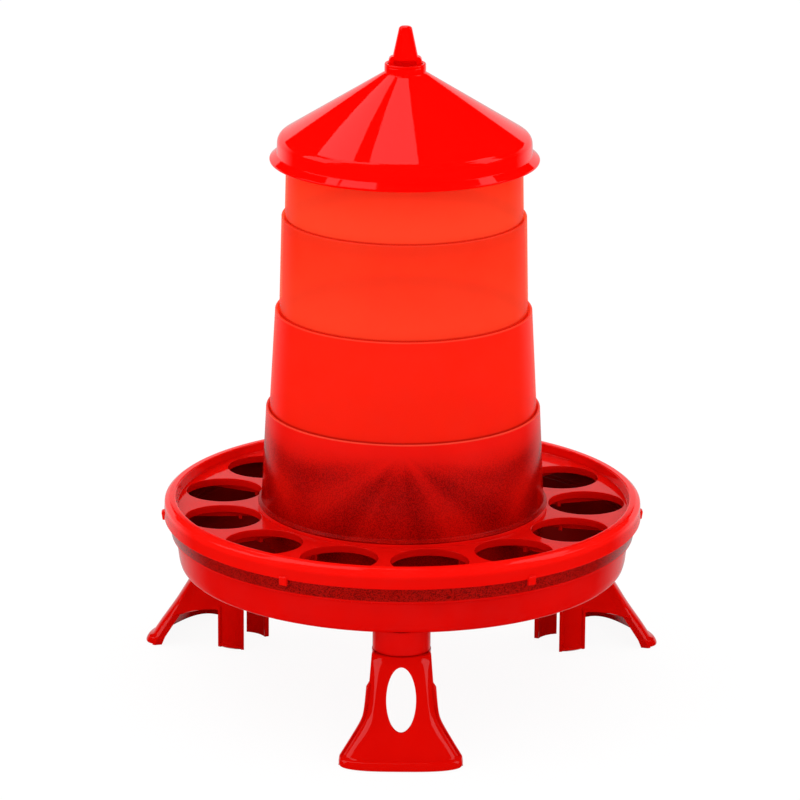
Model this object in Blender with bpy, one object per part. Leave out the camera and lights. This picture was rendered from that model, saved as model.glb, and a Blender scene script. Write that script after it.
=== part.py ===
"""Gravity poultry feeder on three push-in legs.

A pan with a feed cone, a feed ring with thirteen openings, a four-piece translucent hopper, a conical lid
and a hanger. Sizes are in millimetres and are scaled to metres as the meshes are made. +Z is up, the front
leg points along -Y, and the origin is the centre of the pan's flat underside.
"""

from math import cos, hypot, pi, radians, sin, tau

import bmesh
import bpy

MM = 0.001
GAP = 0.35                      # between pieces that touch
PAN_STEPS = 60                  # sides of the turned pieces
HOPPER_STEPS = 48
TUBE_STEPS = 32
CONE_STEPS = 36
HOLE_SIDES = 22

# Heights above the pan's flat underside
FLOOR_Z = -103.0                # soles of the legs
PAN_FLOOR = 2.4                 # thickness of the pan's floor
SKIRT_Z = 43.0                  # lower edge of the feed ring's skirt
PLATE_Z = SKIRT_Z + 9.0         # top of the feed ring's plate
RIM_TOP_Z = SKIRT_Z + 17.4
COLLAR_TOP_Z = PLATE_Z + 3.0
SEAM_Z = (140.3, 226.6, 308.2)  # tops of the hopper base and of the next two rings
HOPPER_TOP_Z = 376.4            # mouth of the hopper, under the lid
BRIM_Z = 356.0                  # lower edge of the lid's brim
SHOULDER_Z = 375.6              # where the line of the lid's cone meets its band
KNOB_TOP_Z = 471.0

# Pan and feed ring
SKIRT_R = 205.0
PAN_EDGE_R = SKIRT_R - 2.3
BOWL_R = 195.0
FLOOR_R = 187.6
FLANGE_R = 198.8                # foot of the sloping band between the bowl and the skirt
PLATE_T = 2.4
COLLAR_R = 122.0                # opening that the hopper base stands in
RIM_R = 194.0                   # inner wall of the raised rim
HOLE_COUNT = 13
HOLE_CIRCLE_R = 158.3
HOLE_R = 32.7
HOLE_PHASE = radians(8.35)      # first opening, counted from the front leg
LIP_T = 1.9
LIP_DROP = 4.0
FIN_T = 2.0
FIN_DROP = 9.0
STOP_R = (138.0, 141.0)
STOP_HALF = 5.5
CLIP_COUNT = 6
CLIP_PHASE = radians(31.5)
CLIP_W = 7.0

# Hopper: outer radius at the bottom and at the top of each visible wall
WALL = 2.0
SPIGOT = 11.7                   # how far each ring reaches into the one below
BASE_R = (121.5, 117.2)
LOWER_R = (114.2, 109.4)
MIDDLE_R = (105.8, 103.9)
TOP_R = (101.1, 99.6)

# Lid and hanger
BRIM_R = 114.2
BAND_R = 107.5
NECK_R = 17.5
NECK_BORE_R = 14.8
CONE_RISE = 0.623               # height gained for each unit of radius
LID_T = 2.3
LID_RIBS = 6
ARM_OUT = 14.0
ARM_IN = 9.4
ARM_HALF = 4.5
HUB_DROP = 24.0                 # underside of the hub below the hopper's mouth
HUB_H = 6.0
KNOB_H = 26.6
SPOKES = 4

# Legs
LEG_ANGLES = {"leg_front": 0.0, "leg_left": -120.0, "leg_right": 120.0}
LEG_R = 164.0                   # radius on which the leg sockets stand
SOCKET_R = 24.2
SOCKET_Z = -21.0                # lower end of each socket
PLUG_R = 21.6
TUBE_R = 24.6
LEG_T = 2.4
PLATE_KICK = 50.0               # how far the plate runs outwards from socket to floor
LIP_H = 7.5
LIP_OUT = 2.2
PLATE_HALF = 60.0               # degrees of the tube that the flared plate takes
POST_FROM = 70.0                # degrees between which each straight post stands
POST_TO = 127.0
FLARE_Z = -67.0                 # where the plate starts to flare sideways
FLARE_BEND = 5.0                # how softly the sides turn outwards there
FLARE_REACH = 29.0              # the sides run straight below this depth under FLARE_Z
FLARE_SLOPE = 0.59
TAPER = 0.09                    # widening of the plate above the flare
SETBACK = (12.3, 20.0)          # depth of the rounded corners at the socket and at the floor
CORNER_POWER = 0.667             # how square the corners of the plate's foot are
OVAL = (12.3, 23.5)             # half width and half height of the oval opening
OVAL_Z = -51.0

FEED_RED = (0.75, 0.010, 0.004, 1.0)
SHELL_RED = (0.95, 0.020, 0.008, 1.0)
HOPPER_RED = (0.95, 0.045, 0.020, 1.0)


def clear_scene():
    for obj in list(bpy.data.objects):
        bpy.data.objects.remove(obj)


def plastic(name, colour, roughness):
    material = bpy.data.materials.new(name)
    material.use_nodes = True
    shader = material.node_tree.nodes["Principled BSDF"]
    shader.inputs["Base Color"].default_value = colour
    shader.inputs["Roughness"].default_value = roughness
    shader.inputs["Metallic"].default_value = 0.0
    return material


def add_object(name, bm, material=None):
    bmesh.ops.recalc_face_normals(bm, faces=bm.faces)
    mesh = bpy.data.meshes.new(name)
    bm.to_mesh(mesh)
    bm.free()
    obj = bpy.data.objects.new(name, mesh)
    bpy.context.scene.collection.objects.link(obj)
    if material:
        mesh.materials.append(material)
    return obj


def finish(obj):
    """Smooth the round walls and keep the moulded edges crisp."""
    obj.data.shade_smooth()
    obj.data.set_sharp_from_angle(angle=radians(35))
    return obj


def turned(name, outline, steps, material=None, centre=(0.0, 0.0)):
    """Spin an outline of (radius, z) points around Z; an outline that ends on the axis stays open there."""
    bm = bmesh.new()
    verts = [bm.verts.new((r * MM, 0.0, z * MM)) for r, z in outline]
    first = 1 if outline[0][0] == 0.0 and outline[-1][0] == 0.0 else 0
    edges = [bm.edges.new((verts[i - 1], verts[i])) for i in range(first, len(verts))]
    bmesh.ops.spin(bm, geom=verts + edges, cent=(0, 0, 0), axis=(0, 0, 1), angle=tau, steps=steps,
                   use_merge=True)
    bmesh.ops.remove_doubles(bm, verts=bm.verts, dist=0.00001)
    bmesh.ops.translate(bm, verts=bm.verts, vec=(centre[0] * MM, centre[1] * MM, 0.0))
    return add_object(name, bm, material)


def add_prism(bm, outline, low, high, place):
    """Extrude a flat outline from low to high; place(u, v, w) gives each point in millimetres."""
    ends = []
    for w in (low, high):
        ends.append([bm.verts.new([c * MM for c in place(u, v, w)]) for u, v in outline])
    count = len(outline)
    bm.faces.new(ends[0])
    bm.faces.new(ends[1][::-1])
    for i in range(count):
        j = (i + 1) % count
        bm.faces.new((ends[0][i], ends[0][j], ends[1][j], ends[1][i]))


def around(r, t, z, angle):
    """A point at radius r and sideways offset t, at an angle counted from the front towards +X."""
    return (r * sin(angle) + t * cos(angle), -r * cos(angle) + t * sin(angle), z)


def add_block(bm, angle, r_range, t_half, z_range):
    """A block on a radius of the feeder, its sides parallel to that radius."""
    corners = [(r_range[0], -t_half), (r_range[1], -t_half), (r_range[1], t_half), (r_range[0], t_half)]
    add_prism(bm, corners, z_range[0], z_range[1], lambda r, t, z: around(r, t, z, angle))


def combine(obj, other, operation):
    """Apply a Boolean with the exact solver and drop the second object."""
    modifier = obj.modifiers.new("boolean", "BOOLEAN")
    modifier.operation = operation
    modifier.solver = "EXACT"
    modifier.object = other
    bpy.context.view_layer.update()
    graph = bpy.context.evaluated_depsgraph_get()
    mesh = bpy.data.meshes.new_from_object(obj.evaluated_get(graph))
    obj.modifiers.clear()
    obj.data = mesh
    bpy.data.objects.remove(other)


def make_pan(material):
    edge_z = SKIRT_Z + 11.2
    flange_z = SKIRT_Z - 13.4
    outline = [(0.0, 0.0), (FLOOR_R, 0.0), (190.8, 1.6), (192.0, 6.0), (BOWL_R, flange_z - 1.0),
               (FLANGE_R, flange_z), (PAN_EDGE_R, SKIRT_Z - 1.0), (PAN_EDGE_R, edge_z),
               (PAN_EDGE_R - 2.1, edge_z), (PAN_EDGE_R - 2.1, SKIRT_Z - 0.4),
               (FLANGE_R - 2.2, flange_z + 1.8), (BOWL_R - 2.1, flange_z + 1.2), (189.8, 6.4),
               (188.6, 3.6), (FLOOR_R - 1.4, PAN_FLOOR), (0.0, PAN_FLOOR)]
    pan = turned("base_pan", outline, PAN_STEPS, material)
    bore = SOCKET_R - 2.2
    tube = [(bore, SOCKET_Z), (SOCKET_R, SOCKET_Z), (SOCKET_R, 1.2), (bore, 1.2)]
    for degrees in LEG_ANGLES.values():
        x, y, _ = around(LEG_R, 0.0, 0.0, radians(degrees))
        combine(pan, turned("socket", tube, TUBE_STEPS, centre=(x, y)), "UNION")
    return finish(pan)


def make_feed_cone(material):
    """The spreader that stands on the pan's floor, hollow underneath."""
    foot = PAN_FLOOR + GAP
    outline = [(96.0, foot), (96.0, foot + 2.0), (90.0, foot + 3.0), (10.0, 50.5), (4.0, 52.4), (0.0, 52.9),
               (0.0, 50.6), (4.0, 50.1), (9.0, 48.4), (87.0, foot)]
    return finish(turned("feed_cone", outline, CONE_STEPS, material))


def hole_angles():
    return [HOLE_PHASE + tau * k / HOLE_COUNT for k in range(HOLE_COUNT)]


def make_feed_ring(material):
    """Plate, collar, raised rim and skirt in one outline, then the openings, their lips and the fins."""
    under = PLATE_Z - PLATE_T
    top = RIM_TOP_Z
    inner_skirt = SKIRT_R - 1.8
    outline = [(COLLAR_R, under), (COLLAR_R, COLLAR_TOP_Z), (COLLAR_R + 2.4, COLLAR_TOP_Z),
               (COLLAR_R + 2.8, PLATE_Z), (RIM_R, PLATE_Z), (RIM_R + 0.8, top - 1.2), (RIM_R + 2.2, top),
               (RIM_R + 6.2, top), (SKIRT_R - 2.0, top - 1.4), (SKIRT_R - 0.2, top - 4.6),
               (SKIRT_R, SKIRT_Z), (inner_skirt, SKIRT_Z), (inner_skirt, top - 5.6),
               (inner_skirt - 2.6, top - 2.4),
               (RIM_R + 3.4, top - 2.4), (RIM_R + 2.6, top - 4.0), (RIM_R + 2.0, under)]
    ring = turned("feed_ring", outline, 5 * HOLE_COUNT, material)

    lips = bmesh.new()
    openings = bmesh.new()
    for angle in hole_angles():
        def place(u, v, z, angle=angle):
            return around(HOLE_CIRCLE_R + u, v, z, angle)
        for bm, radius, low, high in ((lips, HOLE_R + LIP_T, under - LIP_DROP, under + 1.0),
                                      (openings, HOLE_R, under - 20.0, PLATE_Z + 20.0)):
            circle = [(radius * cos(tau * k / HOLE_SIDES), radius * sin(tau * k / HOLE_SIDES))
                      for k in range(HOLE_SIDES)]
            add_prism(bm, circle, low, high, place)
    combine(ring, add_object("lips", lips), "UNION")

    fins = bmesh.new()
    for angle in hole_angles():
        between = angle + pi / HOLE_COUNT
        add_block(fins, between, (COLLAR_R + 3.0, RIM_R - 3.0), FIN_T / 2,
                  (under - FIN_DROP, under + 0.9))
    combine(ring, add_object("fins", fins), "UNION")

    stops = bmesh.new()
    for angle in hole_angles():
        add_block(stops, angle + pi / HOLE_COUNT, STOP_R, STOP_HALF,
                  (under - FIN_DROP - 1.0, under - 5.2))
    combine(ring, add_object("stops", stops), "UNION")
    combine(ring, add_object("openings", openings), "DIFFERENCE")

    clips = bmesh.new()
    for k in range(CLIP_COUNT):
        angle = CLIP_PHASE + tau * k / CLIP_COUNT
        profile = [(SKIRT_R - 1.5, -5.0), (SKIRT_R + 1.4, -5.0), (SKIRT_R + 2.4, 2.2), (SKIRT_R - 1.5, 3.2)]
        add_prism(clips, profile, -CLIP_W / 2, CLIP_W / 2,
                  lambda r, z, t, angle=angle: around(r, t, SKIRT_Z + z, angle))
    combine(ring, add_object("clips", clips), "UNION")
    return finish(ring)


def ring_outline(radii, low, high, seat_r):
    """A tapered wall: its foot nests in the ring below, a ledge in its mouth carries the ring above."""
    foot = low - SPIGOT + GAP
    outline = [(radii[0] + 0.1, foot), (radii[0], low), (radii[1], high), (radii[1] - WALL, high)]
    if seat_r:
        ledge = high - SPIGOT
        outline += [(radii[1] - WALL + 0.3, ledge), (seat_r - 1.4, ledge), (seat_r - 1.4, ledge - 1.5),
                    (radii[1] - WALL + 0.5, ledge - 4.5)]
    outline += [(radii[0] - WALL, low), (radii[0] + 0.1 - WALL, foot)]
    return outline


def make_hopper_base(material):
    collar_top = COLLAR_TOP_Z
    bottom = SKIRT_Z - 18.0
    high = SEAM_Z[0]
    ledge = high - SPIGOT
    seat_r = LOWER_R[0] - WALL
    outline = [(BASE_R[0] - 0.6, bottom), (BASE_R[0], collar_top + GAP), (COLLAR_R + 2.2, collar_top + GAP),
               (COLLAR_R + 2.2, collar_top + 1.8), (BASE_R[0] + 0.1, collar_top + 3.2), (BASE_R[1], high),
               (BASE_R[1] - WALL, high), (BASE_R[1] - WALL + 0.3, ledge), (seat_r - 1.4, ledge),
               (seat_r - 1.4, ledge - 1.5), (BASE_R[1] - WALL + 0.6, ledge - 4.5),
               (BASE_R[0] - WALL, collar_top + 2.0), (BASE_R[0] - WALL - 0.6, bottom)]
    return finish(turned("hopper_base", outline, HOPPER_STEPS, material))


def make_hopper_rings(material):
    walls = {
        "hopper_ring_lower": (LOWER_R, SEAM_Z[0], SEAM_Z[1], MIDDLE_R[0] - WALL),
        "hopper_ring_middle": (MIDDLE_R, SEAM_Z[1], SEAM_Z[2], TOP_R[0] - WALL),
        "hopper_ring_top": (TOP_R, SEAM_Z[2], HOPPER_TOP_Z, None),
    }
    for name, sizes in walls.items():
        finish(turned(name, ring_outline(*sizes), HOPPER_STEPS, material))


def cone_z(radius):
    return SHOULDER_Z + (BAND_R - radius) * CONE_RISE


def make_lid(material):
    neck_z = cone_z(NECK_R)
    outline = [(BRIM_R - 2.0, BRIM_Z), (BRIM_R - 0.2, BRIM_Z), (BRIM_R, BRIM_Z + 1.6),
               (BAND_R + 0.4, BRIM_Z + 6.6), (BAND_R, SHOULDER_Z - 4.4), (BAND_R - 1.0, SHOULDER_Z - 1.4),
               (BAND_R - 3.7, cone_z(BAND_R - 3.7)), (NECK_R, neck_z), (NECK_R - 0.2, neck_z + 6.4),
               (NECK_R - 1.4, neck_z + 7.8), (NECK_BORE_R, neck_z + 7.8),
               (NECK_BORE_R, cone_z(NECK_BORE_R) - LID_T - 0.4),
               (BAND_R - 4.5, cone_z(BAND_R - 4.5) - LID_T - 0.5),
               (BAND_R - LID_T, SHOULDER_Z - 5.2), (BAND_R - LID_T + 0.4, BRIM_Z + 5.8)]
    lid = turned("lid", outline, HOPPER_STEPS, material)
    ribs = bmesh.new()
    for k in range(LID_RIBS):
        add_block(ribs, tau * k / LID_RIBS, (TOP_R[1] + 1.2, BAND_R - 1.0), 1.0,
                  (BRIM_Z + 6.0, SHOULDER_Z - 5.6))
    combine(lid, add_object("ribs", ribs), "UNION")
    return finish(lid)


def make_hanger(material):
    """Spokes across the hopper's mouth, two arms up through the lid's neck, and a tapered knob."""
    hub_z = HOPPER_TOP_Z - HUB_DROP
    knob_z = KNOB_TOP_Z - KNOB_H
    hub_outline = [(0.0, hub_z), (ARM_OUT, hub_z), (ARM_OUT, hub_z + HUB_H), (0.0, hub_z + HUB_H)]
    hub = turned("hanger", hub_outline, TUBE_STEPS, material)
    arms = bmesh.new()
    for side in (-1.0, 1.0):
        outline = [(ARM_IN, hub_z + 2.0), (ARM_OUT, hub_z + 2.0), (ARM_OUT, knob_z - 3.0),
                   (ARM_OUT - 2.5, knob_z + 0.6), (4.0, knob_z + 0.6), (4.0, knob_z - 2.5),
                   (ARM_IN, knob_z - 5.0)]
        add_prism(arms, [(side * x, z) for x, z in outline], -ARM_HALF, ARM_HALF,
                  lambda x, z, y: (x, y, z))
    combine(hub, add_object("arms", arms), "UNION")
    knob = [(0.0, knob_z - 1.5), (10.8, knob_z - 1.5), (10.6, knob_z + 1.0), (5.8, KNOB_TOP_Z - 2.0),
            (4.2, KNOB_TOP_Z - 0.4), (0.0, KNOB_TOP_Z)]
    combine(hub, turned("knob", knob, 28), "UNION")
    spokes = bmesh.new()
    reach = TOP_R[1] - WALL - 0.6
    for k in range(SPOKES):
        add_block(spokes, tau * (k + 0.5) / SPOKES, (ARM_OUT - 4.0, reach), 4.0,
                  (hub_z + 0.8, hub_z + 5.2))
    combine(hub, add_object("spokes", spokes), "UNION")
    return finish(hub)


def leg_drop(z):
    return (SOCKET_Z - z) / (SOCKET_Z - FLOOR_Z)


def plate_front(z):
    """Radius of the plate's front, from the feeder's axis: it kicks out under the socket and flares."""
    return LEG_R + TUBE_R + 1.4 + PLATE_KICK * leg_drop(z) ** 0.8


def plate_half_width(z):
    """It widens gently down to the flare and straight from there, down to the lip."""
    below = min(FLARE_Z - z, FLARE_REACH)
    flare = (below + hypot(below, FLARE_BEND)) / 2.0
    return TUBE_R + TAPER * (SOCKET_Z - z) + FLARE_SLOPE * flare


def plate_setback(z):
    """How far the plate's side edges lie behind its front."""
    return SETBACK[0] + (SETBACK[1] - SETBACK[0]) * leg_drop(z)


def leg_point(degrees, z, out=0.0):
    """A point (t, r) of the leg's section at an angle around its tube, 0 at the front of the plate.

    The plate is a plain arc at the top and gets a flatter front with rounder corners towards its foot.
    """
    side = -1.0 if degrees < 0.0 else 1.0
    angle = abs(degrees)
    if angle > POST_FROM:
        return side * (TUBE_R + out) * sin(radians(angle)), LEG_R + (TUBE_R + out) * cos(radians(angle))
    limit = radians(PLATE_HALF)
    bend = radians(min(angle, PLATE_HALF))
    corner = bend / limit * pi / 2.0
    flat = min(1.0, max(0.0, 1.3 * leg_drop(z)))
    across = (1.0 - flat) * sin(bend) / sin(limit) + flat * sin(corner) ** CORNER_POWER
    back = (1.0 - flat) * (1.0 - cos(bend)) / (1.0 - cos(limit))
    back += flat * (1.0 - max(0.0, cos(corner)) ** CORNER_POWER)
    t = (plate_half_width(z) + out) * across
    r = plate_front(z) + out - plate_setback(z) * back
    if angle > PLATE_HALF:
        share = (angle - PLATE_HALF) / (POST_FROM - PLATE_HALF)
        t += ((TUBE_R + out) * sin(radians(POST_FROM)) - t) * share
        r += (LEG_R + (TUBE_R + out) * cos(radians(POST_FROM)) - r) * share
    return side * t, r


def leg_angles():
    plate = [-60.0, -57.0, -52.0, -42.0, -28.0, -14.0, 0.0, 14.0, 28.0, 42.0, 52.0, 57.0, 60.0]
    web = [PLATE_HALF + 4.0, PLATE_HALF + 7.0]
    back = [POST_FROM + 20.0 * k for k in range(12)]
    other_web = [-angle for angle in reversed(web)]
    return plate + web + [a if a <= 180.0 else a - 360.0 for a in back] + other_web


def make_leg_mesh(material):
    """A tapered shell around the leg's tube, with windows cut between the plate and the two posts."""
    lip_z = FLOOR_Z + LIP_H
    shoulder = SOCKET_Z - GAP
    levels = [shoulder, -32.0, -45.0, -58.0, -70.0, -82.0, lip_z + 0.8]
    outer = [(z, 0.0) for z in levels] + [(lip_z, LIP_OUT), (FLOOR_Z, LIP_OUT)]
    inner = [(z, -LEG_T) for z in levels[1:]] + [(FLOOR_Z, -LEG_T)]

    def circle_row(bm, radius, z):
        row = []
        for degrees in leg_angles():
            x, y = radius * sin(radians(degrees)), -LEG_R - radius * cos(radians(degrees))
            row.append(bm.verts.new((x * MM, y * MM, z * MM)))
        return row

    def section_row(bm, z, out):
        row = []
        for degrees in leg_angles():
            t, r = leg_point(degrees, z, out)
            row.append(bm.verts.new((t * MM, -r * MM, z * MM)))
        return row

    bm = bmesh.new()
    rows = [circle_row(bm, PLUG_R, -3.0), circle_row(bm, PLUG_R, shoulder)]
    rows += [section_row(bm, z, out) for z, out in outer]
    rows += [section_row(bm, z, out) for z, out in reversed(inner)]
    rows += [section_row(bm, shoulder - 2.6, -LEG_T), circle_row(bm, PLUG_R - 2.2, shoulder - 2.6),
             circle_row(bm, PLUG_R - 2.2, -3.0)]
    count = len(rows[0])
    for upper, lower in zip(rows, rows[1:] + rows[:1]):
        for i in range(count):
            j = (i + 1) % count
            bm.faces.new((upper[i], upper[j], lower[j], lower[i]))
    blank = add_object("leg", bm, material)

    oval = bmesh.new()
    half_w, half_h = OVAL
    ellipse = [(half_w * cos(tau * k / 32), OVAL_Z + half_h * sin(tau * k / 32)) for k in range(32)]
    add_prism(oval, ellipse, LEG_R + 8.0, LEG_R + 110.0, lambda x, z, r: (x, -r, z))
    combine(blank, add_object("oval", oval), "DIFFERENCE")

    windows = bmesh.new()
    low = FLOOR_Z - 10.0
    edge = [(plate_front(z) - plate_setback(z) - 3.0, z) for z in (-79.0, -86.0, -94.0, FLOOR_Z)]
    post_r = LEG_R + TUBE_R * cos(radians(POST_FROM)) + 0.6
    arch = [(post_r, low), (post_r, -71.0), (post_r + 4.0, -69.2), (post_r + 11.0, -69.6),
            (post_r + 20.0, -72.0), (post_r + 27.0, -75.0)]
    add_prism(windows, arch + edge + [(edge[-1][0], low)], -90.0, 90.0, lambda r, z, t: (t, -r, z))
    combine(blank, add_object("windows", windows), "DIFFERENCE")

    inner_arch = bmesh.new()
    half_w = TUBE_R * sin(radians(POST_TO))
    arc = [(half_w * cos(pi * k / 12), -52.0 + half_w * sin(pi * k / 12)) for k in range(13)]
    add_prism(inner_arch, [(half_w, low)] + arc + [(-half_w, low)], LEG_R - 60.0, LEG_R - 8.0,
              lambda x, z, r: (x, -r, z))
    combine(blank, add_object("inner_arch", inner_arch), "DIFFERENCE")
    mesh = finish(blank).data
    bpy.data.objects.remove(blank)
    return mesh


def make_legs(material):
    mesh = make_leg_mesh(material)
    for name, degrees in LEG_ANGLES.items():
        leg = bpy.data.objects.new(name, mesh)
        leg.rotation_euler.z = radians(degrees)
        bpy.context.scene.collection.objects.link(leg)


def main():
    clear_scene()
    shell = plastic("shell_plastic", SHELL_RED, 0.30)
    feed = plastic("pan_plastic", FEED_RED, 0.35)
    clear_red = plastic("hopper_plastic", HOPPER_RED, 0.25)
    make_pan(feed)
    make_feed_cone(feed)
    make_feed_ring(shell)
    make_hopper_base(clear_red)
    make_hopper_rings(clear_red)
    make_lid(shell)
    make_hanger(shell)
    make_legs(feed)


main()
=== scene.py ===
"""Looks of the gravity poultry feeder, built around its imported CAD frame.

Every moulding is rebuilt as a smooth closed mesh that takes the place of its plain CAD node. Outlines are in
millimetres, with heights read from the CAD nodes' boxes, and are scaled to metres as the meshes are made.
"""

from math import atan2, cos, hypot, pi, radians, sin, tan, tau

import bmesh
import bpy
from mathutils import Matrix, Vector


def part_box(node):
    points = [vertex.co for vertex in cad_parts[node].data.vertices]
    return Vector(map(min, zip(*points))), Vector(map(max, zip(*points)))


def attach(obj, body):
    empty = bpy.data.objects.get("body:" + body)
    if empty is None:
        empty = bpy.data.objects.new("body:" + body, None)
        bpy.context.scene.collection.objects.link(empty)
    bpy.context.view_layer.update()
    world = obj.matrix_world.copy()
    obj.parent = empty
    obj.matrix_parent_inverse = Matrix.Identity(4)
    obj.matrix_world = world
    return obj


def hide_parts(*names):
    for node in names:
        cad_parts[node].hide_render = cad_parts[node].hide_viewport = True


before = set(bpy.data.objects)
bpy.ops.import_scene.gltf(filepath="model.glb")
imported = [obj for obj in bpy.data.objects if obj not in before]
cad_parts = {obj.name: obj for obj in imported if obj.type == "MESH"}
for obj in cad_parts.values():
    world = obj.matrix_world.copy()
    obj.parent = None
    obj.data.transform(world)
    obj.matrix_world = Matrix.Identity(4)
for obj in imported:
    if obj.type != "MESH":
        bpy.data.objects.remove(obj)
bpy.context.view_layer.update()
MM = 0.001


def heights(node):
    """Lowest and highest point of a CAD node, in millimetres."""
    low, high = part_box(node)
    return low.z / MM, high.z / MM


# Heights read from the frame
FLOOR_Z = heights("leg_front")[0]
RIM_TOP = heights("feed_ring")[1]
SEAM_Z = [heights(node)[1] for node in ("hopper_base", "hopper_ring_lower", "hopper_ring_middle")]
HOPPER_TOP_Z = heights("hopper_ring_top")[1]
BRIM_Z = heights("lid")[0]
KNOB_TOP_Z = heights("hanger")[1]
SOCKET_Z = heights("base_pan")[0]
BASE_LOW_Z = heights("hopper_base")[0]
SKIRT_Z = RIM_TOP - 17.4
PLATE_Z = SKIRT_Z + 9.0
COLLAR_TOP_Z = PLATE_Z + 3.0
FLANGE_Z = SKIRT_Z - 13.4
SHOULDER_Z = BRIM_Z + 19.6
HUB_Z = HOPPER_TOP_Z - 24.0
KNOB_Z = KNOB_TOP_Z - 26.6

# Radii and thicknesses
SKIRT_R = 205.0
PAN_EDGE_R = SKIRT_R - 2.3
BOWL_R = 195.0
FLOOR_R = 187.6
FLANGE_R = 198.8
PAN_T = 2.4
PLATE_T = 2.4
COLLAR_R = 122.0
RIM_R = 194.0
HOLE_COUNT = 13
HOLE_CIRCLE_R = 158.3
HOLE_R = 32.7
HOLE_PHASE = radians(8.35)
LIP_T = 1.2
LIP_DROP = 4.0
FIN_T = 2.0
FIN_DROP = 9.0
STOP_R = (138.0, 141.0)
STOP_HALF = 5.5
CLIP_COUNT = 6
CLIP_PHASE = radians(31.5)
CLIP_W = 7.0
WALL = 2.0
SPIGOT = 11.7
GAP = 0.35
BASE_R = (121.5, 117.2)
LOWER_R = (114.2, 109.4)
MIDDLE_R = (105.8, 103.9)
TOP_R = (101.1, 99.6)
BRIM_R = 114.2
BAND_R = 107.5
NECK_R = 17.5
NECK_BORE_R = 14.8
CONE_RISE = 0.623
LID_T = 2.3
LID_RIBS = 6
HUB_H = 6.0
SPOKES = 4
SPOKE_HALF = 4.0
ARM_OUT = 14.0
ARM_IN = 9.4
ARM_HALF = 4.5
LEG_ANGLES = {"leg_front": 0.0, "leg_left": -120.0, "leg_right": 120.0}
LEG_R = 164.0
SOCKET_R = 24.2
PLUG_R = 21.6
TUBE_R = 24.6
LEG_T = 2.4

# Steps in a full turn, or along one sector of the feed ring's plate
WALL_STEPS = 180
LID_STEPS = 192
TUBE_STEPS = 64
PLUG_STEPS = 96
OVAL_STEPS = 72
SECTOR_ARC = 24
SECTOR_SIDE = 12

# Studio
DOME = 1.20
PANEL_RADIANCE = 0.78
FLOOR_SEEN_WHITE = 0.93
LENS = 214.065
SENSOR = 36.0


# ---------------------------------------------------------------- mesh tools

def fillet(before, corner, after, radius, step=radians(15.0)):
    """Points of the arc that rounds a corner of an outline."""
    u = before - corner
    v = after - corner
    reach = 0.48 * min(u.length, v.length)
    u.normalize()
    v.normalize()
    opening = u.angle(v, pi)
    if opening > radians(178.0):
        return [corner]
    back = min(radius / tan(opening / 2.0), reach)
    radius = back * tan(opening / 2.0)
    centre = corner + (u + v).normalized() * (radius / sin(opening / 2.0))
    start = corner + u * back - centre
    end = corner + v * back - centre
    turn = atan2(start.cross(end), start.dot(end))
    count = max(2, int(abs(turn) / step) + 1)
    points = []
    for k in range(count + 1):
        angle = turn * k / count
        points.append(centre + Vector((start.x * cos(angle) - start.y * sin(angle),
                                       start.x * sin(angle) + start.y * cos(angle))))
    return points


def rounded(outline, closed=True):
    """An outline of (radius, z) or (radius, z, fillet) points, with its corners rounded."""
    count = len(outline)
    flat = [Vector((p[0], p[1])) for p in outline]
    points = []
    for i, corner in enumerate(flat):
        size = outline[i][2] if len(outline[i]) > 2 else 0.0
        inside = closed or 0 < i < count - 1
        if size and inside:
            points += fillet(flat[i - 1], corner, flat[(i + 1) % count], size)
        else:
            points.append(corner)
    return [(p.x, p.y) for p in points]


def turned(bm, outline, angles=160, centre=(0.0, 0.0), closed=True):
    """Spin an outline around Z into bm. angles is a number of equal steps or a list of angles."""
    if isinstance(angles, int):
        angles = [tau * k / angles for k in range(angles)]
    rows = []
    for r, z in outline:
        if r < 1e-6:
            rows.append([bm.verts.new((centre[0] * MM, centre[1] * MM, z * MM))])
        else:
            rows.append([bm.verts.new(((centre[0] + r * cos(a)) * MM, (centre[1] + r * sin(a)) * MM, z * MM))
                         for a in angles])
    count = len(angles)
    first = 0 if closed else 1
    for i in range(first, len(rows)):
        above, below = rows[i - 1], rows[i]
        if len(above) == 1 and len(below) == 1:
            continue
        for k in range(count):
            j = (k + 1) % count
            corners = [above[k % len(above)], above[j % len(above)], below[j % len(below)],
                       below[k % len(below)]]
            bm.faces.new(list(dict.fromkeys(corners)))
    return bm


def around(r, t, z, angle):
    """A point at radius r and sideways offset t, at an angle counted from the front towards +X."""
    return Vector((r * sin(angle) + t * cos(angle), -r * cos(angle) + t * sin(angle), z)) * MM


def prism(bm, outline, low, high, place, bevel=0.4):
    """Extrude a flat outline of (u, v) points from low to high with rounded edges."""
    part = bmesh.new()
    ends = [[part.verts.new(place(u, v, w)) for u, v in outline] for w in (low, high)]
    count = len(outline)
    part.faces.new(ends[0])
    part.faces.new(ends[1][::-1])
    for i in range(count):
        j = (i + 1) % count
        part.faces.new((ends[0][i], ends[0][j], ends[1][j], ends[1][i]))
    bmesh.ops.recalc_face_normals(part, faces=part.faces)
    if bevel:
        sharp = [e for e in part.edges if e.calc_face_angle(0.0) > radians(30.0)]
        bmesh.ops.bevel(part, geom=sharp, offset=bevel * MM, segments=2, affect="EDGES", profile=0.5)
    merge_into(bm, part)


def block(bm, angle, r_range, t_half, z_range, bevel=0.4):
    """A rounded block on a radius of the feeder."""
    corners = [(r_range[0], -t_half), (r_range[1], -t_half), (r_range[1], t_half), (r_range[0], t_half)]
    prism(bm, corners, z_range[0], z_range[1], lambda r, t, z: around(r, t, z, angle), bevel)


def merge_into(bm, part):
    """Copy a finished bmesh into another one."""
    copies = {v: bm.verts.new(v.co) for v in part.verts}
    for face in part.faces:
        bm.faces.new([copies[v] for v in face.verts])
    part.free()


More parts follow.
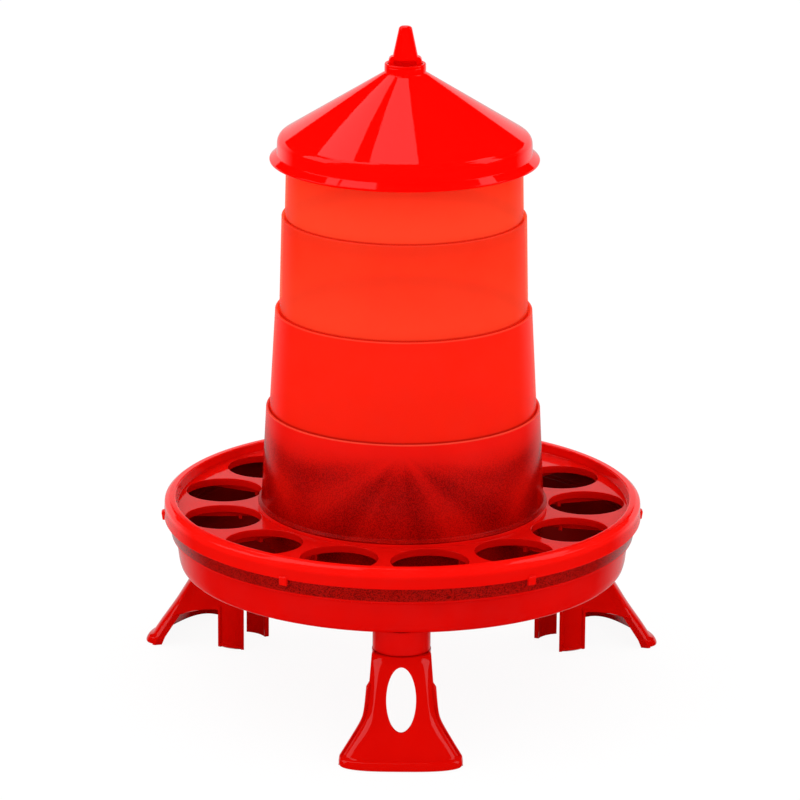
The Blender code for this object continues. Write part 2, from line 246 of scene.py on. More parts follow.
def piece(name, bm, material, body, *nodes, slot):
    """Make the object, let it ride on its body and stand for its CAD nodes."""
    bmesh.ops.recalc_face_normals(bm, faces=bm.faces)
    mesh = bpy.data.meshes.new(name)
    bm.to_mesh(mesh)
    bm.free()
    mesh.materials.append(material)
    mesh.shade_smooth()
    mesh.set_sharp_from_angle(angle=radians(40.0))
    obj = bpy.data.objects.new(name, mesh)
    bpy.context.scene.collection.objects.link(obj)
    weighted = obj.modifiers.new("weighted_normals", "WEIGHTED_NORMAL")
    weighted.keep_sharp = True
    weighted.weight = 80
    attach(obj, body)
    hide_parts(*nodes)
    return obj


# ----------------------------------------------------------------- materials

def node_at(tree, kind, **inputs):
    """A new node with some of its inputs set; an underscore stands for a space in an input's name."""
    node = tree.nodes.new(kind)
    for name, value in inputs.items():
        node.inputs[name.replace("_", " ")].default_value = value
    return node


def mixed(tree, factor, first, second, mode="MIX"):
    """A colour mix of two sockets or colours by a factor socket or number."""
    mix = tree.nodes.new("ShaderNodeMix")
    mix.data_type = "RGBA"
    mix.blend_type = mode
    for index, value in ((0, factor), (6, first), (7, second)):
        if isinstance(value, bpy.types.NodeSocket):
            tree.links.new(value, mix.inputs[index])
        else:
            mix.inputs[index].default_value = value
    return mix.outputs[2]


def mapped(tree, value, low, high, out_low, out_high):
    """A smooth ramp of a value socket from one range to another."""
    ramp = tree.nodes.new("ShaderNodeMapRange")
    ramp.interpolation_type = "SMOOTHSTEP"
    tree.links.new(value, ramp.inputs["Value"])
    for name, number in (("From Min", low), ("From Max", high), ("To Min", out_low), ("To Max", out_high)):
        ramp.inputs[name].default_value = number
    return ramp.outputs["Result"]


def math(tree, operation, first, second=0.0):
    """The result of a maths operation on two sockets or numbers."""
    node = tree.nodes.new("ShaderNodeMath")
    node.operation = operation
    for index, value in enumerate((first, second)):
        if isinstance(value, bpy.types.NodeSocket):
            tree.links.new(value, node.inputs[index])
        else:
            node.inputs[index].default_value = value
    return node.outputs[0]


class Plastic:
    """A moulded plastic: mottled colour, uneven gloss and a fine moulded grain."""

    def __init__(self, name, colour, shade, roughness, grain=0.02):
        self.material = bpy.data.materials.new(name)
        self.material.use_nodes = True
        self.tree = self.material.node_tree
        self.shader = self.tree.nodes["Principled BSDF"]
        self.place = self.tree.nodes.new("ShaderNodeTexCoord").outputs["Object"]
        cloud = self.noise(14.0, 3.0)
        self.colour = mixed(self.tree, mapped(self.tree, cloud, 0.35, 0.75, 0.0, 1.0), colour, shade)
        fine = self.noise(900.0, 2.0)
        gloss = self.noise(60.0, 2.0)
        self.tree.links.new(mapped(self.tree, gloss, 0.3, 0.7, roughness * 0.85, roughness * 1.2),
                            self.shader.inputs["Roughness"])
        bump = node_at(self.tree, "ShaderNodeBump", Strength=grain, Distance=0.0004)
        self.tree.links.new(fine, bump.inputs["Height"])
        self.tree.links.new(bump.outputs["Normal"], self.shader.inputs["Normal"])
        self.shader.inputs["IOR"].default_value = 1.49

    def noise(self, scale, detail):
        node = node_at(self.tree, "ShaderNodeTexNoise", Scale=scale, Detail=detail)
        self.tree.links.new(self.place, node.inputs["Vector"])
        return node.outputs["Fac"]

    def height(self):
        split = self.tree.nodes.new("ShaderNodeSeparateXYZ")
        self.tree.links.new(self.place, split.inputs[0])
        return split.outputs["Z"]

    def done(self):
        self.tree.links.new(self.colour, self.shader.inputs["Base Color"])
        return self.material


def shade_speckle(plastic, amount_socket, dark):
    """Painted shade: fine dark specks over part of a plastic, as thick as amount_socket says."""
    shade_specks = mapped(plastic.tree, plastic.noise(950.0, 1.0), 0.42, 0.62, 0.0, 1.0)
    plastic.colour = mixed(plastic.tree, math(plastic.tree, "MULTIPLY", shade_specks, amount_socket),
                           plastic.colour, dark)


def shell_material():
    plastic = Plastic("shell_red", (0.98, 0.0016, 0.0004, 1.0), (0.93, 0.0013, 0.0003, 1.0), 0.035, 0.004)
    return plastic.done()


def ring_material():
    """The skirt lets a little of what lies behind it through."""
    plastic = Plastic("feed_ring_red", (0.98, 0.006, 0.003, 1.0), (0.94, 0.0045, 0.0022, 1.0), 0.07, 0.008)
    skirt = mapped(plastic.tree, plastic.height(), (PLATE_Z - 1.0) * MM, (PLATE_Z + 3.0) * MM, 0.38, 0.10)
    see_through(plastic, 0.0, skirt, (1.0, 0.20, 0.12, 1.0))
    return plastic.done()


def leg_material():
    return Plastic("leg_red", (0.62, 0.0018, 0.0004, 1.0), (0.55, 0.0014, 0.0003, 1.0), 0.045, 0.006).done()


def shaded_inside(plastic):
    """Mask of the pan's painted shade: one where a surface faces up or towards the feeder's axis, zero
    elsewhere.
    """
    tree = plastic.tree
    normal = tree.nodes.new("ShaderNodeTexCoord").outputs["Normal"]
    split = tree.nodes.new("ShaderNodeSeparateXYZ")
    tree.links.new(normal, split.inputs[0])
    flat = node_at(tree, "ShaderNodeVectorMath")
    flat.operation = "MULTIPLY"
    tree.links.new(plastic.place, flat.inputs[0])
    flat.inputs[1].default_value = (1.0, 1.0, 0.0)
    facing = tree.nodes.new("ShaderNodeVectorMath")
    facing.operation = "DOT_PRODUCT"
    tree.links.new(normal, facing.inputs[0])
    tree.links.new(flat.outputs[0], facing.inputs[1])
    inward = mapped(tree, facing.outputs["Value"], -0.01, -0.05, 0.0, 1.0)
    return math(tree, "MAXIMUM", inward, mapped(tree, split.outputs["Z"], 0.5, 0.8, 0.0, 1.0))


def pan_material():
    """Painted shade: darker, with dark specks, in the strip that the skirt shades, and darker still on the
    faces inside, under the feed ring's plate.
    """
    plastic = Plastic("pan_red", (0.64, 0.0012, 0.0003, 1.0), (0.57, 0.0009, 0.0002, 1.0), 0.16)
    plastic.shader.inputs["Specular IOR Level"].default_value = 0.1
    # Painted shade in the strip under the skirt, with dark painted shade specks.
    band_low = (FLANGE_Z + 0.4) * MM
    skirt_shade = mapped(plastic.tree, plastic.height(), band_low, band_low + 0.0012, 0.0, 1.0)
    plastic.colour = mixed(plastic.tree, skirt_shade, plastic.colour, (0.38, 0.0028, 0.0012, 1.0))
    shade_speckle(plastic, skirt_shade, (0.13, 0.0010, 0.0004, 1.0))
    # Painted shade on the faces inside the pan, under the feed ring's plate.
    inside = shaded_inside(plastic)
    plastic.colour = mixed(plastic.tree, inside, plastic.colour, (0.15, 0.0008, 0.0003, 1.0))
    return plastic.done()


def cone_material():
    # Dark red with painted shade specks all over; the spreader lies under the feed ring's plate.
    plastic = Plastic("cone_red", (0.34, 0.0016, 0.0004, 1.0), (0.24, 0.0012, 0.0003, 1.0), 0.2)
    shade_speckle(plastic, 0.6, (0.07, 0.0005, 0.0002, 1.0))
    return plastic.done()


def see_through(plastic, glow, clear, tint):
    """Let light spread through the plastic by glow, and straight through it by clear."""
    tree = plastic.tree
    spread = tree.nodes.new("ShaderNodeBsdfTranslucent")
    tree.links.new(plastic.colour, spread.inputs["Color"])
    milky = node_at(tree, "ShaderNodeMixShader", Fac=glow)
    tree.links.new(plastic.shader.outputs[0], milky.inputs[1])
    tree.links.new(spread.outputs[0], milky.inputs[2])
    window = node_at(tree, "ShaderNodeBsdfTransparent", Color=tint)
    both = tree.nodes.new("ShaderNodeMixShader")
    if isinstance(clear, bpy.types.NodeSocket):
        tree.links.new(clear, both.inputs["Fac"])
    else:
        both.inputs["Fac"].default_value = clear
    tree.links.new(milky.outputs[0], both.inputs[1])
    tree.links.new(window.outputs[0], both.inputs[2])
    tree.links.new(both.outputs[0], tree.nodes["Material Output"].inputs["Surface"])


def lit_streaks(plastic, axis, apex_z):
    """A mask of painted light: soft streaks that spread downwards from a point on the wall, across the X or
    Y axis.
    """
    tree = plastic.tree
    split = tree.nodes.new("ShaderNodeSeparateXYZ")
    tree.links.new(plastic.place, split.inputs[0])
    drop = math(tree, "SUBTRACT", apex_z * MM, split.outputs["Z"])
    angle = math(tree, "ARCTAN2", split.outputs[axis], drop)
    join = tree.nodes.new("ShaderNodeCombineXYZ")
    tree.links.new(angle, join.inputs[0])
    fan = node_at(tree, "ShaderNodeTexNoise", Scale=2.6, Detail=0.5)
    tree.links.new(join.outputs[0], fan.inputs["Vector"])
    away = math(tree, "ABSOLUTE", split.outputs[axis])
    seen = mapped(tree, away, 0.070, 0.095, 1.0, 0.0)
    return math(tree, "MULTIPLY", mapped(tree, fan.outputs["Fac"], 0.34, 0.68, 0.0, 1.0), seen)


def hopper_material(name, colour, shade, seam_z, top_z, clear, painted_glow=0.0, foot=None):
    """Translucent plastic, with a painted shadow above the seam it stands in and a painted highlight along
    its mouth.

    clear is the share of light that goes straight through. The seam glow argument is painted light: it turns
    the wall lighter and more orange towards its seam, most at the seam itself. Every module but the foot
    also has a faint orange painted glow by emission. With foot, the wall darkens downwards between the two
    heights in painted shade and shows soft lighter streaks of painted light.
    """
    plastic = Plastic(name, colour, shade, 0.16, grain=0.012)
    tree = plastic.tree
    # Painted glow: every module but the foot glows faintly orange by emission.
    if not foot:
        plastic.shader.inputs["Emission Color"].default_value = (1.0, 0.06, 0.02, 1.0)
        plastic.shader.inputs["Emission Strength"].default_value = 0.12
    # Painted light: the wall turns lighter and more orange towards its seam.
    if painted_glow:
        painted_glow_mask = mapped(tree, plastic.height(), (seam_z + 2.0) * MM, (top_z - 12.0) * MM, painted_glow, 0.0)
        plastic.colour = mixed(tree, painted_glow_mask, plastic.colour, (1.0, 0.17, 0.065, 1.0))
    shadow = mapped(tree, plastic.height(), (seam_z + 0.3) * MM, (seam_z + 1.5) * MM, 0.70, 0.0)
    plastic.colour = mixed(tree, shadow, plastic.colour, (0.42, 0.003, 0.001, 1.0))
    # Painted highlight: a lighter line along the top of the mouth.
    mouth_highlight = mapped(tree, plastic.height(), (top_z - 1.3) * MM, (top_z - 0.7) * MM, 0.0, 0.6)
    plastic.colour = mixed(tree, mouth_highlight, plastic.colour, (1.0, 0.13, 0.07, 1.0))
    if foot:
        # Painted shade: the shaded inside, seen through the wall, darkens it downwards between the two
        # heights, with soft lighter streaks of painted light and dark painted shade specks.
        low, high = foot
        painted_shade = mapped(tree, plastic.height(), low * MM, high * MM, 0.92, 0.0)
        drift = mapped(tree, plastic.noise(16.0, 2.0), 0.35, 0.65, 0.82, 1.0)
        painted_shade = math(tree, "MULTIPLY", painted_shade, drift)
        streak_light = math(tree, "ADD", lit_streaks(plastic, "X", high), lit_streaks(plastic, "Y", high))
        lit = math(tree, "SUBTRACT", 1.0, math(tree, "MULTIPLY", streak_light, 0.55))
        painted_shade = math(tree, "MULTIPLY", painted_shade, lit)
        plastic.colour = mixed(tree, painted_shade, plastic.colour, (0.50, 0.0010, 0.0003, 1.0))
        shade_speckle(plastic, math(tree, "MULTIPLY", painted_shade, 0.8), (0.12, 0.0004, 0.0001, 1.0))
    plastic.shader.inputs["Specular IOR Level"].default_value = 0.2
    see_through(plastic, 0.35, clear, (1.0, 0.40, 0.22, 1.0))
    return plastic.done()


# -------------------------------------------------------------------- pieces

def make_pan(material):
    edge_z = SKIRT_Z + 11.2
    outline = rounded([
        (0.0, 0.0), (FLOOR_R + 2.6, 0.0, 4.5), (192.2, 6.0, 30.0), (BOWL_R, FLANGE_Z - 1.4, 2.0),
        (FLANGE_R, FLANGE_Z - 0.9, 0.6), (FLANGE_R + 0.1, FLANGE_Z + 0.5, 0.6),
        (PAN_EDGE_R, SKIRT_Z - 0.4, 1.0), (PAN_EDGE_R, edge_z, 0.8), (PAN_EDGE_R - 2.1, edge_z, 0.8),
        (PAN_EDGE_R - 2.1, SKIRT_Z, 1.0), (FLANGE_R - 2.3, FLANGE_Z + 2.2, 1.6),
        (BOWL_R - 2.3, FLANGE_Z + 1.2, 1.5), (189.9, 6.6, 20.0),
        (FLOOR_R + 0.2, PAN_T, 4.0), (0.0, PAN_T)], closed=False)
    bm = turned(bmesh.new(), outline, WALL_STEPS, closed=False)
    bore = SOCKET_R - 2.2
    tube = rounded([(bore, SOCKET_Z, 0.6), (SOCKET_R, SOCKET_Z, 0.6), (SOCKET_R, 0.2, 2.0),
                    (SOCKET_R + 2.0, 0.4), (bore - 1.0, 0.4), (bore, 0.0)])
    for degrees in LEG_ANGLES.values():
        x, y, _ = around(LEG_R, 0.0, 0.0, radians(degrees)) / MM
        turned(bm, tube, TUBE_STEPS, centre=(x, y))
    piece("pan", bm, material, "pan", "base_pan", slot="pan_plastic")


def make_feed_cone(material):
    """The spreader on the pan's floor: a cone with shallow flutes."""
    foot = PAN_T + GAP
    flutes, steps = 12, 144
    flute_in, flute_out, flute_h = 14.0, 86.0, 0.9
    outline = rounded([(0.0, 52.9), (4.0, 52.4, 3.0), (11.0, 49.9, 6.0), (88.0, foot + 3.4, 4.0),
                       (95.5, foot + 1.8, 0.8), (95.5, foot), (87.0, foot), (9.0, 48.2), (4.0, 50.1),
                       (0.0, 50.6)], closed=False)
    bm = turned(bmesh.new(), outline, steps, closed=False)
    for vert in bm.verts:
        r = hypot(vert.co.x, vert.co.y) / MM
        if flute_in < r < flute_out:
            share = sin(pi * (r - flute_in) / (flute_out - flute_in))
            vert.co.z += flute_h * MM * share * cos(flutes * atan2(vert.co.y, vert.co.x))
    piece("spreader_cone", bm, material, "pan", "feed_cone", slot="pan_plastic")


def sector_edge(count_arc, count_side, r_in, r_out):
    """Boundary points (radius, angle) of one sector of the plate, going round it once."""
    half = pi / HOLE_COUNT
    arcs = [-half + 2.0 * half * k / count_arc for k in range(count_arc)]
    sides = [r_out + (r_in - r_out) * k / count_side for k in range(count_side)]
    points = [(r_out, a) for a in arcs] + [(r, half) for r in sides]
    points += [(r_in, -a) for a in arcs] + [(r_in + r_out - r, -half) for r in sides]
    return points


def make_feed_ring(material):
    """Plate in thirteen sectors, each a strip from its edge through the opening's rolled lip and back."""
    under = PLATE_Z - PLATE_T
    r_in, r_out = COLLAR_R + 2.3, RIM_R - 1.5
    edge = sector_edge(SECTOR_ARC, SECTOR_SIDE, r_in, r_out)
    roll = 0.85
    lip_z = under - LIP_DROP
    lip = rounded([(HOLE_R + roll + 0.02, PLATE_Z), (HOLE_R, PLATE_Z, roll), (HOLE_R, lip_z, 0.55),
                   (HOLE_R + LIP_T, lip_z, 0.55), (HOLE_R + LIP_T, under)], closed=False)
    bm = bmesh.new()
    for k in range(HOLE_COUNT):
        middle = HOLE_PHASE + tau * k / HOLE_COUNT
        loops = [[around(r, 0.0, PLATE_Z, middle + a) for r, a in edge]]
        toward = []
        for r, a in edge:
            direction = Vector((r * cos(a) - HOLE_CIRCLE_R, r * sin(a)))
            toward.append(direction.normalized())
        for radius, z in lip:
            loops.append([around(HOLE_CIRCLE_R + radius * d.x, radius * d.y, z, middle) for d in toward])
        loops.append([around(r, 0.0, under, middle + a) for r, a in edge])
        rows = [[bm.verts.new(co) for co in loop] for loop in loops]
        for upper, lower in zip(rows, rows[1:]):
            for i in range(len(edge)):
                j = (i + 1) % len(edge)
                bm.faces.new((upper[i], upper[j], lower[j], lower[i]))
    starts = [HOLE_PHASE + tau * k / HOLE_COUNT - pi / HOLE_COUNT for k in range(HOLE_COUNT)]
    angles = sorted(start + tau / HOLE_COUNT * i / SECTOR_ARC - pi / 2
                    for start in starts for i in range(SECTOR_ARC))
    inner_skirt = SKIRT_R - 1.8
    rim = rounded([
        (r_out, PLATE_Z), (RIM_R, PLATE_Z, 1.4), (RIM_R + 0.9, RIM_TOP - 0.4, 1.0),
        (RIM_R + 2.0, RIM_TOP, 1.2), (SKIRT_R - 4.2, RIM_TOP - 0.1, 3.0),
        (SKIRT_R - 0.5, RIM_TOP - 3.0, 3.6), (SKIRT_R, SKIRT_Z, 0.6),
        (inner_skirt, SKIRT_Z, 0.5), (inner_skirt - 0.3, RIM_TOP - 5.6, 1.5),
        (inner_skirt - 2.6, RIM_TOP - 2.4, 1.0), (RIM_R + 3.2, RIM_TOP - 2.4, 0.8),
        (RIM_R + 2.0, under, 1.0), (r_out, under)], closed=False)
    turned(bm, rim, angles, closed=False)
    collar = rounded([(r_in, under), (COLLAR_R, under, 0.4), (COLLAR_R, COLLAR_TOP_Z, 0.6),
                      (COLLAR_R + 1.7, COLLAR_TOP_Z, 0.6), (COLLAR_R + 1.9, PLATE_Z, 0.4), (r_in, PLATE_Z)],
                     closed=False)
    turned(bm, collar, angles, closed=False)
    bmesh.ops.remove_doubles(bm, verts=bm.verts, dist=0.00002)
    for k in range(HOLE_COUNT):
        between = HOLE_PHASE + tau * (k + 0.5) / HOLE_COUNT
        block(bm, between, (COLLAR_R + 3.0, RIM_R - 3.0), FIN_T / 2, (under - FIN_DROP, under + 0.9))
        block(bm, between, STOP_R, STOP_HALF, (under - FIN_DROP - 1.0, under - 5.2))
    for k in range(CLIP_COUNT):
        angle = CLIP_PHASE + tau * k / CLIP_COUNT
        profile = [(SKIRT_R - 1.5, -5.0), (SKIRT_R + 1.4, -5.0), (SKIRT_R + 2.4, 1.6),
                   (SKIRT_R + 1.6, 2.8), (SKIRT_R - 1.5, 3.2)]
        prism(bm, profile, -CLIP_W / 2, CLIP_W / 2,
              lambda r, z, t, angle=angle: around(r, t, SKIRT_Z + z, angle), 0.7)
    piece("feeding_ring", bm, material, "feed_ring", "feed_ring", slot="feed_ring_plastic")


def make_hopper(materials):
    """Four nested modules with thin rounded mouths; the lowest wall bellies a little."""
    seat_r = LOWER_R[0] - WALL
    ledge = SEAM_Z[0] - SPIGOT
    base = rounded([
        (BASE_R[0] - 0.6, BASE_LOW_Z, 0.8), (BASE_R[0], COLLAR_TOP_Z + GAP, 0.2),
        (COLLAR_R + 2.2, COLLAR_TOP_Z + GAP, 0.6), (COLLAR_R + 2.2, COLLAR_TOP_Z + 1.8, 0.8),
        (BASE_R[0] - 0.2, COLLAR_TOP_Z + 3.4, 1.4), (BASE_R[0] - 1.8, COLLAR_TOP_Z + 36.0, 60.0),
        (BASE_R[1], SEAM_Z[0], 0.7), (BASE_R[1] - WALL, SEAM_Z[0], 0.7),
        (BASE_R[1] - WALL + 0.3, ledge, 0.4), (seat_r - 1.4, ledge, 0.5), (seat_r - 1.4, ledge - 1.5, 0.5),
        (BASE_R[1] - WALL + 0.6, ledge - 4.5, 2.0),
        (BASE_R[0] - WALL - 0.6, COLLAR_TOP_Z + 4.0, 8.0), (BASE_R[0] - WALL - 0.6, BASE_LOW_Z, 0.8)])
    module = turned(bmesh.new(), base, WALL_STEPS)
    piece("hopper_foot", module, materials["base"], "hopper_base", "hopper_base", slot="hopper_plastic")
    tops = SEAM_Z[1:] + [HOPPER_TOP_Z]
    seats = [MIDDLE_R[0] - WALL, TOP_R[0] - WALL, None]
    rows = zip(("lower", "middle", "top"), (LOWER_R, MIDDLE_R, TOP_R), SEAM_Z, tops, seats)
    for word, radii, low, high, seat in rows:
        foot = low - SPIGOT + GAP
        outline = [(radii[0] + 0.1, foot, 0.7), (radii[0], low), (radii[1], high, 0.7),
                   (radii[1] - WALL, high, 0.7)]
        if seat:
            ledge = high - SPIGOT
            outline += [(radii[1] - WALL + 0.3, ledge, 0.4), (seat - 1.4, ledge, 0.5),
                        (seat - 1.4, ledge - 1.5, 0.5), (radii[1] - WALL + 0.5, ledge - 4.5, 2.0)]
        outline += [(radii[0] - WALL, low), (radii[0] + 0.1 - WALL, foot, 0.7)]
        wall = turned(bmesh.new(), rounded(outline), WALL_STEPS)
        piece("hopper_" + word, wall, materials[word], "hopper_" + word, "hopper_ring_" + word,
              slot="hopper_plastic")


def cone_z(radius):
    """Height of the lid's cone at a radius."""
    return SHOULDER_Z + (BAND_R - radius) * CONE_RISE


def make_lid(material):
    neck_z = cone_z(NECK_R)
    top = neck_z + 7.8
    outline = rounded([
        (BRIM_R - 2.4, BRIM_Z, 0.5), (BRIM_R - 0.4, BRIM_Z, 0.6), (BRIM_R, BRIM_Z + 1.6, 1.0),
        (BAND_R + 0.5, BRIM_Z + 6.4, 1.0), (BAND_R, SHOULDER_Z, 8.0), (NECK_R, neck_z, 1.2),
        (NECK_R, top - 2.6, 0.5), (NECK_R - 0.5, top - 2.1, 0.3), (NECK_R, top - 1.4, 0.4),
        (NECK_R - 0.3, top, 1.2), (NECK_BORE_R, top, 0.8),
        (NECK_BORE_R, cone_z(NECK_BORE_R) - LID_T - 0.4, 0.8),
        (BAND_R - LID_T, cone_z(BAND_R - LID_T) - LID_T - 0.6, 6.0),
        (BAND_R - LID_T + 0.5, BRIM_Z + 6.0, 1.0)])
    bm = turned(bmesh.new(), outline, LID_STEPS)
    for k in range(LID_RIBS):
        block(bm, tau * k / LID_RIBS, (TOP_R[1] + 1.2, BAND_R - 1.0), 1.0,
              (BRIM_Z + 6.0, SHOULDER_Z - 5.6))
    piece("lid_cover", bm, material, "lid", "lid", slot="lid_plastic")


def superellipse(half_x, half_y, z, count=48, power=2.6):
    """A rounded rectangle of points at one height."""
    points = []
    for k in range(count):
        c, s = cos(tau * k / count), sin(tau * k / count)
        x = half_x * abs(c) ** (2.0 / power) * (1.0 if c >= 0.0 else -1.0)
        y = half_y * abs(s) ** (2.0 / power) * (1.0 if s >= 0.0 else -1.0)
        points.append(Vector((x, y, z)) * MM)
    return points


def make_hanger(material):
    """Hub and spokes across the mouth, two arms up through the neck and a tapered knob."""
    hub = rounded([(0.0, HUB_Z), (ARM_OUT, HUB_Z, 0.8), (ARM_OUT, HUB_Z + HUB_H, 0.8),
                   (0.0, HUB_Z + HUB_H)], closed=False)
    bm = turned(bmesh.new(), hub, TUBE_STEPS, closed=False)
    for side in (-1.0, 1.0):
        outline = [(ARM_IN, HUB_Z + 2.0), (ARM_OUT, HUB_Z + 2.0), (ARM_OUT, KNOB_Z - 2.4),
                   (ARM_OUT - 0.7, KNOB_Z - 0.4), (ARM_OUT - 2.6, KNOB_Z + 1.0), (4.0, KNOB_Z + 1.0),
                   (4.0, KNOB_Z - 1.8), (ARM_IN - 0.8, KNOB_Z - 2.6), (ARM_IN, KNOB_Z - 4.6)]
        prism(bm, outline, -ARM_HALF, ARM_HALF,
              lambda x, z, y, side=side: Vector((side * x, y, z)) * MM, 0.8)
    levels = [(10.0, 8.4, -2.0), (10.7, 9.0, -1.4), (10.9, 9.2, -0.4), (10.6, 9.0, 1.2)]
    height = KNOB_TOP_Z - KNOB_Z
    for k in range(1, 9):
        share = k / 8.0
        levels.append((10.6 - 4.8 * share, 9.0 - 3.6 * share, 1.2 + (height - 4.2) * share))
    for k in range(7):
        bend = radians(15.0 * k)
        levels.append((2.2 + 3.55 * cos(bend), 2.0 + 3.35 * cos(bend), height - 2.8 + 2.8 * sin(bend)))
    rows = [[bm.verts.new(co) for co in superellipse(a, b, KNOB_Z + z)] for a, b, z in levels]
    for lower, upper in zip(rows, rows[1:]):
        for i in range(len(lower)):
            j = (i + 1) % len(lower)
            bm.faces.new((lower[i], lower[j], upper[j], upper[i]))
    bm.faces.new(rows[0])
    bm.faces.new(rows[-1])
    reach = TOP_R[1] - WALL - 0.6
    for k in range(SPOKES):
        block(bm, tau * (k + 0.5) / SPOKES, (ARM_OUT - 4.0, reach), SPOKE_HALF,
              (HUB_Z + 0.8, HUB_Z + 5.2), 0.9)
    piece("hanging_bridge", bm, material, "hopper_top", "hanger", slot="lid_plastic")


# ---------------------------------------------------------------------- legs

# Angles are in degrees around the tube, from the front of the plate
PLATE_HALF = 60.0
POST_FROM = 70.0
POST_TO = 127.0
SIDE_ARCH_Z = -70.0
SIDE_ARCH_RISE = 7.6
INNER_ARCH_Z = -32.4
PLATE_OUT = 1.4
PLATE_KICK = 50.0
FLARE_Z = -67.0
FLARE_REACH = 29.0
FLARE_BEND = 5.0
FLARE_SLOPE = 0.59
TAPER = 0.09
SETBACK_TOP = 12.3
SETBACK_GROWTH = 7.7
CORNER_POWER = 0.667
BEAD_TOP_Z = -43.0
BEAD_W = 3.4
BEAD_H = 2.2
POST_BEAD_W = 2.8
POST_BEAD_H = 1.6
ARCH_ROW = 22
LIP_H = 7.5
LIP_OUT = 2.4
POST_LIP_H = 3.0
OVAL = (12.3, 23.5)
OVAL_Z = -51.0


def leg_drop(z):
    """Share of the way down from the socket to the floor."""
    return (SOCKET_Z - z) / (SOCKET_Z - FLOOR_Z)


def plate_front(z):
    return LEG_R + TUBE_R + PLATE_OUT + PLATE_KICK * leg_drop(z) ** 0.8


def plate_half_width(z):
    below = min(FLARE_Z - z, FLARE_REACH)
    return TUBE_R + TAPER * (SOCKET_Z - z) + FLARE_SLOPE * (below + hypot(below, FLARE_BEND)) / 2.0


def leg_point(degrees, z, out=0.0):
    """A point (t, r) of the leg's section at an angle around its tube, 0 at the front of the plate.

    The plate is a plain arc at the top and gets a flatter front with rounder corners towards its foot.
    """
    side = -1.0 if degrees < 0.0 else 1.0
    angle = abs(degrees)
    if angle > POST_FROM:
        return side * (TUBE_R + out) * sin(radians(angle)), LEG_R + (TUBE_R + out) * cos(radians(angle))
    limit = radians(PLATE_HALF)
    bend = radians(min(angle, PLATE_HALF))
    corner = bend / limit * pi / 2.0
    flat = min(1.0, max(0.0, 1.3 * leg_drop(z)))
    across = (1.0 - flat) * sin(bend) / sin(limit) + flat * sin(corner) ** CORNER_POWER
    back = (1.0 - flat) * (1.0 - cos(bend)) / (1.0 - cos(limit))
    back += flat * (1.0 - max(0.0, cos(corner)) ** CORNER_POWER)
    t = (plate_half_width(z) + out) * across
    r = plate_front(z) + out - (SETBACK_TOP + SETBACK_GROWTH * leg_drop(z)) * back
    if angle > PLATE_HALF:
        share = (angle - PLATE_HALF) / (POST_FROM - PLATE_HALF)
        t += ((TUBE_R + out) * sin(radians(POST_FROM)) - t) * share
        r += (LEG_R + (TUBE_R + out) * cos(radians(POST_FROM)) - r) * share
    return side * t, r


def arch_z(angle):
    """Height of the shell's inner arches at an angle around the tube, the same on both sides."""
    angle = abs(angle)
    if angle <= PLATE_HALF:
        return SIDE_ARCH_Z - 7.0
    if angle < POST_FROM:
        share = (angle - PLATE_HALF) / (POST_FROM - PLATE_HALF)
        return SIDE_ARCH_Z - 7.0 + SIDE_ARCH_RISE * sin(pi / 2 * share) ** 0.8
    spring = SIDE_ARCH_Z + 0.6
    half_width = TUBE_R * sin(radians(POST_TO))
    if angle < POST_TO:
        share = (angle - POST_FROM) / (POST_TO - POST_FROM)
        return spring + (INNER_ARCH_Z - half_width - spring) * share
    across = TUBE_R * sin(radians(angle)) / half_width
    return INNER_ARCH_Z - half_width + half_width * (max(0.0, 1.0 - across * across)) ** 0.5


def leg_columns():
    """Angles around the tube, closer together beside each free edge."""
    near = (0.6, 1.4, 2.4, 3.6, 5.2, 7.0)
    half = [4.0 * k for k in range(14)]
    half += [PLATE_HALF - a for a in reversed((0.5, 1.1, 1.8, 2.6, 3.6, 5.0, 6.4))] + [PLATE_HALF]
    half += [PLATE_HALF + (POST_FROM - PLATE_HALF) * k / 9.0 for k in range(1, 10)]
    half += [POST_FROM + a for a in near] + [POST_FROM + 7.0 + 4.3 * k for k in range(1, 11)]
    half += [POST_TO - a for a in reversed(near)] + [POST_TO] + [POST_TO + 5.3 * k for k in range(1, 10)]
    return [-a for a in reversed(half[1:])] + half + [180.0]


def leg_rows(angle):
    """Heights down the shell at an angle: even steps to the arch, then even steps to the floor."""
    top = SOCKET_Z - GAP
    arch = arch_z(angle)
    upper = [top + (arch - top) * (k / ARCH_ROW) for k in range(ARCH_ROW)]
    shares = (0.0, 0.04, 0.09, 0.16, 0.26, 0.37, 0.48, 0.58, 0.66, 0.71, 0.74, 0.76, 0.79, 0.83, 0.88, 0.93,
              0.97, 1.0)
    return upper + [arch + (FLOOR_Z - arch) * share for share in shares]


def bulge(distance, width, height):
    """Height of a rounded bead at a distance from the free edge that it follows."""
    if distance >= width:
        return 0.0
    across = 2.0 * distance / width - 1.0
    return height * (1.0 - max(0.0, across) ** 4) ** 0.5


def raised(angle, z):
    """How far the moulded border stands proud near a free edge and at the foot."""
    a = abs(angle)
    proud = 0.0
    if a <= PLATE_HALF:
        start = max(0.0, min(1.0, (BEAD_TOP_Z - z) / 0.5))
        wide, deep = leg_point(a, z), leg_point(PLATE_HALF, z)
        proud = start * bulge(hypot(deep[0] - wide[0], deep[1] - wide[1]), BEAD_W, BEAD_H)
    elif a >= POST_FROM and a <= POST_TO and z < arch_z(angle) + 3.0:
        proud = bulge(min(a - POST_FROM, POST_TO - a) * radians(1.0) * TUBE_R, POST_BEAD_W, POST_BEAD_H)
    if a <= PLATE_HALF or POST_FROM <= a <= POST_TO:
        foot_h, foot_out = (LIP_H, LIP_OUT) if a <= PLATE_HALF else (POST_LIP_H, POST_BEAD_H)
        up = (z - FLOOR_Z) / foot_h
        if up < 1.0:
            proud = max(proud, foot_out * (1.0 - abs(2.0 * up - 1.0) ** 3) ** 0.5)
    return proud


